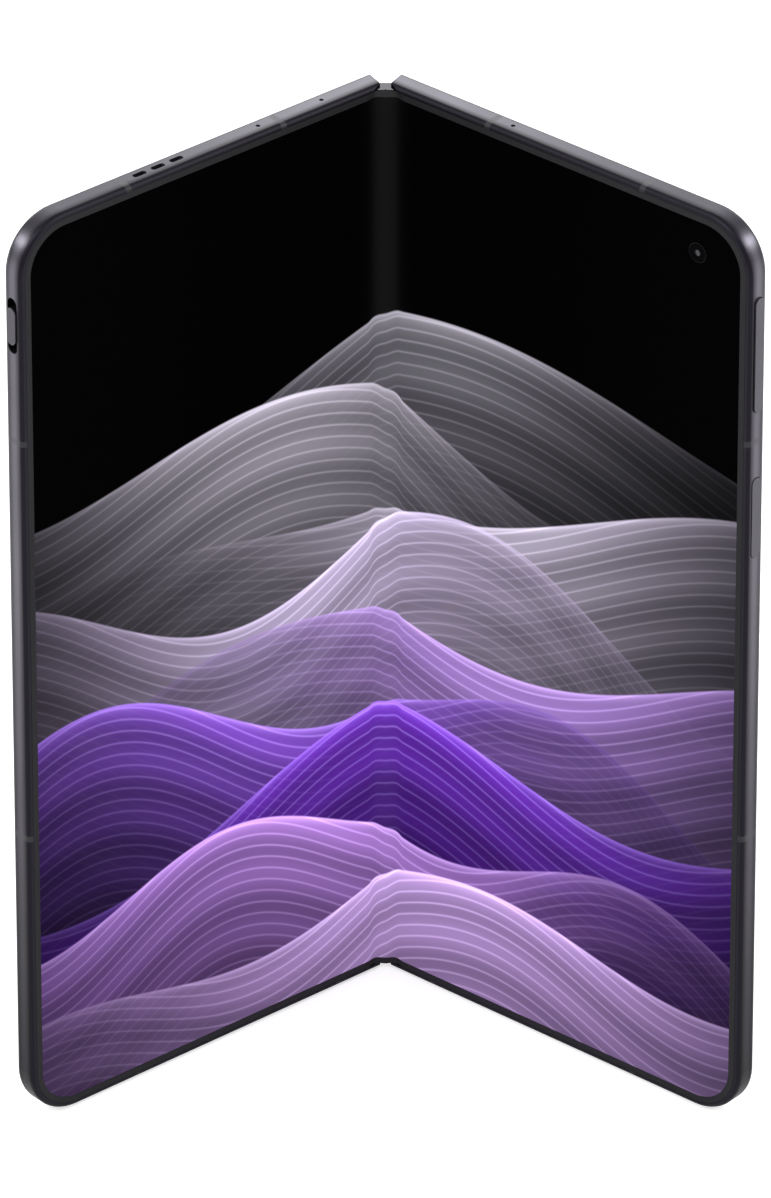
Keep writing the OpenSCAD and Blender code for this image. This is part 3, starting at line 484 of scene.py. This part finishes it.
# Each wave: crest height at the fold, slope, swell, swells per 100 mm, start of the swell,
# middle of its glow across the phone, spread of the glow, depth of its fade, colour, opacity
WAVES = [
    (115.0, 0.06, 7.0, 0.62, 0.9, 12.0, 38.0, 18.0, (170, 166, 178), 0.7),
    (104.0, -0.12, 6.0, 0.85, 2.6, -22.0, 40.0, 24.0, (204, 197, 214), 0.8),
    (93.0, 0.12, 8.0, 0.7, 4.4, 24.0, 48.0, 26.0, (212, 202, 226), 0.86),
    (81.0, -0.08, 9.0, 0.95, 0.3, -12.0, 52.0, 28.0, (222, 204, 244), 0.9),
    (68.0, 0.1, 7.0, 0.8, 3.3, 26.0, 56.0, 22.0, (198, 152, 246), 0.92),
    (56.0, -0.11, 8.0, 1.05, 5.4, -26.0, 60.0, 16.0, (156, 92, 240), 0.94),
    (44.0, 0.08, 6.0, 0.9, 1.7, 8.0, 66.0, 16.0, (136, 60, 232), 0.95),
    (31.0, -0.05, 6.0, 1.2, 4.0, -16.0, 66.0, 18.0, (204, 148, 248), 0.96),
    (17.0, 0.05, 4.0, 1.1, 0.2, 14.0, 66.0, 26.0, (216, 176, 248), 0.97),
]


GLINT_TINT = (0.86, 0.76, 0.95)
BLACK_LEVEL = (0.0006, 0.0006, 0.0008)


def wave_layer():
    """Node group that lays one wave over what is under it."""
    group = bpy.data.node_groups.new("silk_wave", "ShaderNodeTree")
    face = group.interface
    for name in ("Across", "Up", "Height", "Slope", "Swell", "Rate", "Start", "Middle",
                 "Spread", "Fade", "Opacity"):
        face.new_socket(name=name, in_out="INPUT", socket_type="NodeSocketFloat")
    face.new_socket(name="Tint", in_out="INPUT", socket_type="NodeSocketColor")
    face.new_socket(name="Under", in_out="INPUT", socket_type="NodeSocketColor")
    face.new_socket(name="Out", in_out="OUTPUT", socket_type="NodeSocketColor")
    n = Nodes(group)
    have = group.nodes.new("NodeGroupInput").outputs
    put = group.nodes.new("NodeGroupOutput")
    swing = n.math("SINE", n.math("ADD", n.math("MULTIPLY", have["Across"], have["Rate"]),
                                  have["Start"]))
    rise = n.math("MULTIPLY", swing, have["Swell"])
    tilt = n.math("MULTIPLY", have["Across"], have["Slope"])
    crest = n.math("ADD", n.math("ADD", rise, tilt), have["Height"])
    below = n.math("SUBTRACT", crest, have["Up"])
    cover = n.step(below, -0.25, 0.25)
    off = n.math("DIVIDE", n.math("SUBTRACT", have["Across"], have["Middle"]), have["Spread"])
    glow = n.math("EXPONENT", n.math("MULTIPLY", n.math("MULTIPLY", off, off), -1.0))
    depth = n.math("DIVIDE", below, have["Fade"])
    fall = n.math("EXPONENT", n.math("MULTIPLY", depth, -1.0))
    line = n.math("EXPONENT", n.math("MULTIPLY", n.math("ABSOLUTE", below), -1.8))
    pleat_at = n.math("ADD", n.math("MULTIPLY", below, 0.62),
                      n.math("MULTIPLY", swing, 1.4))
    pleat = n.math("MULTIPLY", n.math("SINE", pleat_at), 0.14)
    thread_at = n.math("ADD", n.math("MULTIPLY", below, 1.5), n.math("MULTIPLY", swing, 4.0))
    thread = n.math("POWER", n.math("ABSOLUTE", n.math("SINE", thread_at)), 24.0)
    weave = n.math("ADD", pleat, n.math("MULTIPLY", thread, 0.36))
    body = n.math("MULTIPLY", fall, n.math("ADD", weave, 0.7))
    shine = n.math("MULTIPLY", n.math("ADD", body, n.math("MULTIPLY", line, 0.95)), glow)
    lit = n.mix(1.0, have["Tint"], grey(n, shine), "MULTIPLY")
    glint = n.math("ADD", n.math("MULTIPLY", n.math("MULTIPLY", thread, fall), 0.16),
                   n.math("MULTIPLY", line, 0.3))
    glint = n.math("MULTIPLY", glint, glow)
    pale = n.mix(1.0, grey(n, glint), GLINT_TINT, "MULTIPLY")
    lit = n.mix(1.0, lit, pale, "ADD")
    share = n.math("MULTIPLY", n.math("MULTIPLY", cover, have["Opacity"]),
                   n.math("ADD", n.math("MULTIPLY", glow, 0.7), 0.3))
    n.put(put, "Out", n.mix(share, have["Under"], lit))
    return group


def display_picture():
    """Switched-on panel: black glass whose picture shines through, with a painted sheen in a faint
    strip at the fold.
    """
    made, n, shader = material("display_picture", specular=0.02, ior=1.15)
    group = wave_layer()
    u, v = n.split(n.add("ShaderNodeUVMap").outputs[0])[:2]
    across = n.math("MULTIPLY", n.math("SUBTRACT", u, 0.5), PICTURE_W)
    up = n.math("MULTIPLY", v, PICTURE_H)
    picture = rgba(BLACK_LEVEL)
    for height, slope, swell, rate, start, middle, spread, fade, tint, opacity in WAVES:
        node = n.tree.nodes.new("ShaderNodeGroup")
        node.node_tree = group
        for name, value in (("Across", across), ("Up", up), ("Height", height),
                            ("Slope", slope), ("Swell", swell), ("Rate", rate * 2 * pi / 100),
                            ("Start", start), ("Middle", middle), ("Spread", spread),
                            ("Fade", fade), ("Opacity", opacity), ("Tint", rgba(linear(*tint))),
                            ("Under", picture)):
            n.put(node, name, value)
        picture = node.outputs[0]
    # painted sheen at the fold: a lighter base colour and a faint added glow in a strip either side
    # of the fold, which is also a little rougher
    painted_sheen_band = n.step(n.math("ABSOLUTE", across), 0.0, 7.0, 1.0, 0.0)
    lift = n.math("MULTIPLY", n.math("MULTIPLY", painted_sheen_band, painted_sheen_band), 0.005)
    picture = n.mix(1.0, picture, grey(n, lift), "ADD")
    n.put(shader, "Base Color", n.mix(painted_sheen_band, linear(1, 1, 1), linear(8, 8, 9)))
    n.put(shader, "Roughness", n.step(painted_sheen_band, 0.0, 1.0, 0.2, 0.28))
    n.put(shader, "Emission Color", picture)
    shader.inputs["Emission Strength"].default_value = 1.0
    return made


MATERIALS = {
    # frame and break plastic: the colour near the fold, the darker one further out, and the dark
    # chamfer and front rim are painted light and shade
    "frame_metal": edge_painted_light("anodised_frame", 1.0, (118, 116, 123), (80, 78, 85),
                               (118, 115, 124), (42, 40, 47), (52, 50, 57)),
    "key_metal": satin_metal("anodised_key", linear(104, 102, 109), 0.32, 0.06, 0.1)[0],
    "spine_metal": satin_metal("anodised_spine", linear(96, 95, 99), 0.38, 0.05, 0.12)[0],
    "hinge_steel": satin_metal("hinge_steel", linear(176, 177, 181), 0.3, 0.05, 0.1)[0],
    "break_plastic": edge_painted_light("break_plastic", 0.0, (98, 96, 103), (68, 66, 72),
                                 (92, 90, 97), (38, 37, 43), (38, 37, 42)),
    "bezel_plastic": dull_plastic("bezel_plastic", linear(20, 20, 23), linear(27, 27, 30),
                                  0.6, 9.0, 0.05),
    "display": display_picture(),
    "cover_glass": outer_glass(),
    "back_glass": back_glass(),
    "battery_foil": battery_foil(),
    "board": board_green(),
    "inner_plastic": dull_plastic("inner_plastic", linear(16, 16, 18), linear(30, 30, 33),
                                  0.5, 3.0),
    "ribbon": ribbon(),
    "lens_glass": lens_glass(),
    "flash_lens": flash_lens(),
}

OWN_MATERIAL = {"alert_slider": key_ridges(), "camera_island": island_metal()}
LENS_DOME = gloss_glass("lens_dome", linear(10, 11, 22), linear(20, 19, 36), 0.02)
CAMERA_BLACK = dull_plastic("camera_black", linear(2, 2, 3), linear(4, 4, 5), 0.6, 6.0, 0.05,
                            specular=0.03)
GILT = satin_metal("gilt_contact", linear(214, 176, 96), 0.25, 0.05, 0.05)[0]

for part in frame["record"]["subparts"]:
    mesh = frame["nodes"][part["node"]].data
    mesh.materials.clear()
    mesh.materials.append(OWN_MATERIAL.get(part["node"], MATERIALS[part["material_slot"]]))


# ---- pieces ----

def piece(name, bm, made, smooth=True, weld=True):
    """A mesh object from a bmesh; smooth faces keep edges sharper than 35 degrees."""
    if weld:
        bmesh.ops.remove_doubles(bm, verts=bm.verts, dist=1e-7)
    bmesh.ops.recalc_face_normals(bm, faces=bm.faces)
    mesh = bpy.data.meshes.new(name)
    bm.to_mesh(mesh)
    bm.free()
    mesh.materials.append(made)
    if smooth:
        mesh.shade_smooth()
        mesh.set_sharp_from_angle(angle=radians(35))
    made_object = bpy.data.objects.new(name, mesh)
    bpy.context.scene.collection.objects.link(made_object)
    return made_object


def set_uv(bm, places):
    """UV of every corner from the flat place (across, up) of its vertex."""
    layer = bm.loops.layers.uv.new("flat")
    for face in bm.faces:
        for loop in face.loops:
            across, up = places[loop.vert]
            loop[layer].uv = (across / PICTURE_W + 0.5, up / PICTURE_H)


def panel_outline():
    """Flat outline of a display panel from the fold zone to its rounded outer corners."""
    r = CORNER - DISPLAY_EDGE
    out = [(FOLD_HALF, DISPLAY_EDGE)]
    steps = 24
    middle_s = HALF - CORNER
    for i in range(steps + 1):
        a = -pi / 2 + i * pi / 2 / steps
        out.append((middle_s + r * cos(a), CORNER + r * sin(a)))
    for i in range(steps + 1):
        a = i * pi / 2 / steps
        out.append((middle_s + r * cos(a), HEIGHT - CORNER + r * sin(a)))
    out.append((FOLD_HALF, HEIGHT - DISPLAY_EDGE))
    return out


def display_panel(side):
    """Flat part of the display on one half, with the camera's hole on the right."""
    bm = bmesh.new()
    flat = {}
    loops = [panel_outline()]
    if side == RIGHT:
        turns = [i * pi / 24 for i in range(48)]
        loops.append([(CAMERA_S + CAMERA_R * cos(a), CAMERA_Z + CAMERA_R * sin(a)) for a in turns])
    rings = []
    for loop in loops:
        for depth in (LIP, DISPLAY_BACK):
            verts = []
            for s, z in loop:
                vert = bm.verts.new(at(side, s, z, depth))
                flat[vert] = (side * s, z)
                verts.append(vert)
            rings.append(verts)
    for front, back in zip(rings[0::2], rings[1::2]):
        for i in range(len(front)):
            j = (i + 1) % len(front)
            bm.faces.new((front[i], front[j], back[j], back[i]))
    for k in (0, 1):
        edges = []
        for verts in rings[k::2]:
            for i in range(len(verts)):
                a, b = verts[i], verts[(i + 1) % len(verts)]
                edges.append(bm.edges.get((a, b)) or bm.edges.new((a, b)))
        bmesh.ops.triangle_fill(bm, edges=edges, use_beauty=True, use_dissolve=False)
    set_uv(bm, flat)
    name = "display_panel_left" if side == LEFT else "display_panel_right"
    made = piece(name, bm, MATERIALS["display"], weld=False)
    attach(made, SIDES[side])
    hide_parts("left_display" if side == LEFT else "right_display")
    return made


def fold_strip(name, side, z0, z1, d0, d1, rows, made):
    """A closed bar of the fold zone, from the fold line to the flat part of one half."""
    steps = 20
    bm = bmesh.new()
    flat = {}
    grid = []
    for i in range(steps + 1):
        s = FOLD_HALF * i / steps
        ring = []
        for z, d in ([(z0 + (z1 - z0) * k / rows, d0) for k in range(rows + 1)]
                     + [(z1 - (z1 - z0) * k / rows, d1) for k in range(rows + 1)]):
            vert = bm.verts.new(bent(side, s, z, d))
            flat[vert] = (side * s, z)
            ring.append(vert)
        grid.append(ring)
    count = len(grid[0])
    for i in range(steps):
        for k in range(count):
            j = (k + 1) % count
            bm.faces.new((grid[i][k], grid[i][j], grid[i + 1][j], grid[i + 1][k]))
    for ring in (grid[0], grid[-1]):
        bm.faces.new(ring)
    set_uv(bm, flat)
    bar = piece(name, bm, made, weld=False)
    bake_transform(bar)
    return bar


def build_display():
    for side in (LEFT, RIGHT):
        tag = "left" if side == LEFT else "right"
        display_panel(side)
        fold = fold_strip("display_fold_" + tag, side, DISPLAY_EDGE, HEIGHT - DISPLAY_EDGE,
                          LIP, DISPLAY_BACK, 40, MATERIALS["display"])
        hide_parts("display_fold")
        for end, z0, z1 in (("bottom", RIM + 0.05, BEZEL_IN), ("top", HEIGHT - BEZEL_IN,
                                                              HEIGHT - RIM - 0.05)):
            cover = fold_strip(f"fold_bezel_{end}_{tag}", side, z0, z1, 0.0, LIP, 2,
                               MATERIALS["bezel_plastic"])
            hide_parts("fold_trim")


build_display()


# ---- small parts of the dressed phone ----

def lathe(bm, side, s, z, profile, steps=48):
    """Adds a turned form about an axis through a half's thickness; profile holds r and d."""
    rings = []
    for r, d in profile:
        if r == 0:
            rings.append([bm.verts.new(at(side, s, z, d))])
            continue
        rings.append([bm.verts.new(at(side, s + r * cos(2 * pi * i / steps),
                                      z + r * sin(2 * pi * i / steps), d)) for i in range(steps)])
    for a, b in zip(rings, rings[1:]):
        for i in range(steps):
            j = (i + 1) % steps
            corners = [a[i % len(a)], a[j % len(a)], b[j % len(b)], b[i % len(b)]]
            bm.faces.new(list(dict.fromkeys(corners)))
    return rings


def turned_piece(name, side, s, z, profile, made, closed=False):
    """A lathe form of its own that rides one half; closed joins the profile's two ends."""
    bm = bmesh.new()
    lathe(bm, side, s, z, profile + profile[:1] if closed else profile)
    out = piece(name, bm, made)
    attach(out, SIDES[side])
    return out


def box(bm, side, s, z, d):
    """Adds a cuboid between pairs of s, z and d."""
    corners = [bm.verts.new(at(side, i, j, k)) for i in s for j in z for k in d]
    for face in ((0, 1, 3, 2), (4, 6, 7, 5), (0, 4, 5, 1), (2, 3, 7, 6), (0, 2, 6, 4), (1, 5, 7, 3)):
        bm.faces.new([corners[i] for i in face])


def inner_camera():
    """Black trim ring and domed lens behind the hole in the display."""
    seat = SELFIE_LENS_R + 0.05
    turned_piece("selfie_trim", RIGHT, CAMERA_S, CAMERA_Z,
                 [(1.6, 0.17), (1.55, 0.13), (1.3, 0.125), (seat, 0.165), (seat, 0.175),
                  (1.6, 0.175)],
                 CAMERA_BLACK, closed=True)
    dome = [(SELFIE_LENS_R * sin(a * pi / 16), 0.12 + 0.05 * (1 - cos(a * pi / 16)))
            for a in range(9)]
    turned_piece("selfie_lens", RIGHT, CAMERA_S, CAMERA_Z,
                 dome + [(SELFIE_LENS_R, 0.178), (0, 0.178)], LENS_DOME)


def rear_optics():
    """Camera modules with stepped black barrels and domed lenses behind the rear windows."""
    for i, (ds, dz) in enumerate(LENSES):
        s, z = ISLAND_S + ds, ISLAND_Z + dz
        top = THICK + ISLAND_T
        bm = bmesh.new()
        box(bm, RIGHT, (s - 6, s + 6), (z - 6, z + 6), (MODULE_D, MODULE_TOP))
        barrel = [(5.35, MODULE_TOP), (5.35, top - LENS_GLASS_GAP), (4.3, top - LENS_GLASS_GAP),
                  (4.0, top - 1.1), (3.3, top - 1.1), (3.1, top - 1.5), (2.4, top - 1.5),
                  (2.2, top - 1.9),
                  (2.2, MODULE_TOP)]
        lathe(bm, RIGHT, s, z, barrel + barrel[:1])
        module = piece(f"camera_module_{i + 1}", bm, MATERIALS["inner_plastic"])
        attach(module, SIDES[RIGHT])
        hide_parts("camera_modules")
        dome = [(2.15 * sin(a * pi / 20), top - 2.0 + 0.45 * cos(a * pi / 20)) for a in range(11)]
        turned_piece(f"rear_lens_{i + 1}", RIGHT, s, z, dome + [(2.15, MODULE_TOP), (0, MODULE_TOP)],
                     LENS_DOME)


def perforated(name, side, s, z, outward):
    """Fine punched mesh set back in a speaker slot: a grid of square holes."""
    columns, rows, pitch, wall = 8, 3, 0.25, 0.07
    bm = bmesh.new()
    s0, d0 = s - columns * pitch / 2, THICK / 2 - rows * pitch / 2
    depth = (z, z + 0.08 * outward)
    width = (s0 - wall / 2, s0 + columns * pitch + wall / 2)
    for k in range(rows + 1):
        d = d0 + k * pitch
        box(bm, side, width, depth, (d - wall / 2, d + wall / 2))
    for k in range(columns + 1):
        for row in range(rows):
            low = d0 + row * pitch + wall / 2
            box(bm, side, (s0 + k * pitch - wall / 2, s0 + k * pitch + wall / 2), depth,
                (low, low + pitch - wall))
    mesh = piece(name, bm, MATERIALS["hinge_steel"], smooth=False)
    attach(mesh, SIDES[side])


def speaker_meshes():
    for i in range(3):
        perforated(f"ear_mesh_{i + 1}", LEFT, BREAK_S - 0.1 - (i + 1) * SLOT_STEP, HEIGHT - 0.9, -1)
        perforated(f"low_mesh_{i + 1}", RIGHT, BREAK_S + 0.6 + (i + 1) * SLOT_STEP, 0.9, 1)


def port_contacts():
    """Twelve gilt contacts on each face of the port's tongue."""
    bm = bmesh.new()
    for i in range(12):
        s = PORT_S + (i - 5.5) * 0.5
        for face in (-1, 1):
            near = PORT_D + face * 0.355
            far = PORT_D + face * 0.385
            box(bm, RIGHT, (s - 0.13, s + 0.13), (4.1, 6.6), (min(near, far), max(near, far)))
    pads = piece("port_contacts", bm, GILT, smooth=False)
    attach(pads, SIDES[RIGHT])


def eased(points, rounds=2):
    """A polyline with its corners cut, ends kept."""
    for _ in range(rounds):
        out = [points[0]]
        for (ax, ay), (bx, by) in zip(points, points[1:]):
            out += [(0.75 * ax + 0.25 * bx, 0.75 * ay + 0.25 * by),
                    (0.25 * ax + 0.75 * bx, 0.25 * ay + 0.75 * by)]
        points = out + [points[-1]]
    return points


def hinge_cables():
    """Ribbon cables from the spine to each half, curved round the fold."""
    spine_y = AXIS_D + Y_SHIFT
    path = [(0.0, spine_y + 1.35), (1.4, spine_y + 1.25), (2.6, spine_y + 0.55),
                turned(FOLD_HALF + 0.1, CABLE_D, FOLD), turned(CABLE_END, CABLE_D, FOLD)]
    route = eased(path)
    for side in (LEFT, RIGHT):
        tag = "left" if side == LEFT else "right"
        for k, middle in enumerate(CABLE_Z):
            bm = bmesh.new()
            rings = []
            for x, y in route:
                rings.append([bm.verts.new(Vector((side * x, y + t, middle + w)) * MM)
                              for w, t in ((-4.5, 0.0), (4.5, 0.0), (4.5, 0.11), (-4.5, 0.11))])
            for a, b in zip(rings, rings[1:]):
                for i in range(4):
                    j = (i + 1) % 4
                    bm.faces.new((a[i], a[j], b[j], b[i]))
            bm.faces.new(rings[0])
            bm.faces.new(rings[-1])
            cable = piece(f"hinge_cable_{tag}_{k + 1}", bm, MATERIALS["ribbon"])
            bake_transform(cable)
            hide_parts("hinge_flex_cables")


inner_camera()
rear_optics()
speaker_meshes()
port_contacts()
hinge_cables()


# ---- floor, light and camera ----

def build_floor():
    bm = bmesh.new()
    bmesh.ops.create_grid(bm, x_segments=1, y_segments=1, size=6.0)
    floor = bpy.data.meshes.new("floor")
    bm.to_mesh(floor)
    bm.free()
    made, n, shader = material("pale_floor", specular=0.1)
    place = object_mm(n)
    n.put(shader, "Base Color", n.mix(n.noise(place, 0.01, 2.0), (0.80, 0.80, 0.80),
                                      (0.82, 0.82, 0.82)))
    shader.inputs["Roughness"].default_value = 0.9
    lift = n.add("ShaderNodeEmission", Color=(1.0, 1.0, 1.0, 1.0), Strength=0.6)
    sum_ = n.add("ShaderNodeAddShader")
    n.put(sum_, 0, shader.outputs[0])
    n.put(sum_, 1, lift.outputs[0])
    path = n.add("ShaderNodeLightPath").outputs
    seen = n.math("MAXIMUM", path["Is Camera Ray"], path["Is Transmission Ray"])
    pick = n.add("ShaderNodeMixShader", Fac=seen)
    n.put(pick, 1, shader.outputs[0])
    n.put(pick, 2, sum_.outputs[0])
    n.put(made.node_tree.nodes["Material Output"], "Surface", pick.outputs[0])
    floor.materials.append(made)
    plane = bpy.data.objects.new("floor", floor)
    plane.location = (0, 0, -0.0002)
    bpy.context.scene.collection.objects.link(plane)


def soft_lamp(name, place, target, size, power):
    lamp = bpy.data.lights.new(name, "AREA")
    lamp.shape = "RECTANGLE"
    lamp.size, lamp.size_y = size
    lamp.energy = power
    holder = bpy.data.objects.new(name, lamp)
    holder.location = place
    holder.rotation_euler = (Vector(target) - Vector(place)).to_track_quat("-Z", "Y").to_euler()
    bpy.context.scene.collection.objects.link(holder)


def build_light():
    world = bpy.data.worlds.new("studio")
    bpy.context.scene.world = world
    world.use_nodes = True
    n = Nodes(world.node_tree)
    back = world.node_tree.nodes["Background"]
    path = n.add("ShaderNodeLightPath").outputs
    up = n.split(n.add("ShaderNodeTexCoord").outputs["Generated"])[2]
    sky = n.step(up, -0.1, 0.9, 0.32, 0.62)
    n.put(back, "Color", (1.0, 1.0, 1.0, 1.0))
    n.put(back, "Strength", n.math("MAXIMUM", path["Is Camera Ray"], sky))
    soft_lamp("key", (-0.9, -0.9, 1.5), (0, 0, 0.08), (1.0, 1.0), 14.0)
    soft_lamp("fill", (1.2, -0.6, 1.0), (0, 0, 0.08), (0.9, 0.9), 7.0)
    soft_lamp("back", (0, 1.6, 1.15), (0, 0, 0.1), (2.2, 1.0), 13.0)
    for name, side in (("side_left", LEFT), ("side_right", RIGHT)):
        soft_lamp(name, (side * 1.15, 0.13, 0.72), (side * 0.06, 0, 0.155), (0.25, 0.25), 3.0)


def build_camera():
    data = bpy.data.cameras.new("camera")
    data.sensor_width = 36.0
    data.lens = 412.48
    holder = bpy.data.objects.new("camera", data)
    holder.location = (0.0, -1.82048, 1.18525)
    holder.rotation_euler = (radians(58.761), 0, 0)
    bpy.context.scene.collection.objects.link(holder)
    bpy.context.scene.camera = holder


build_floor()
build_light()
build_camera()
bpy.context.scene.view_settings.view_transform = "Standard"
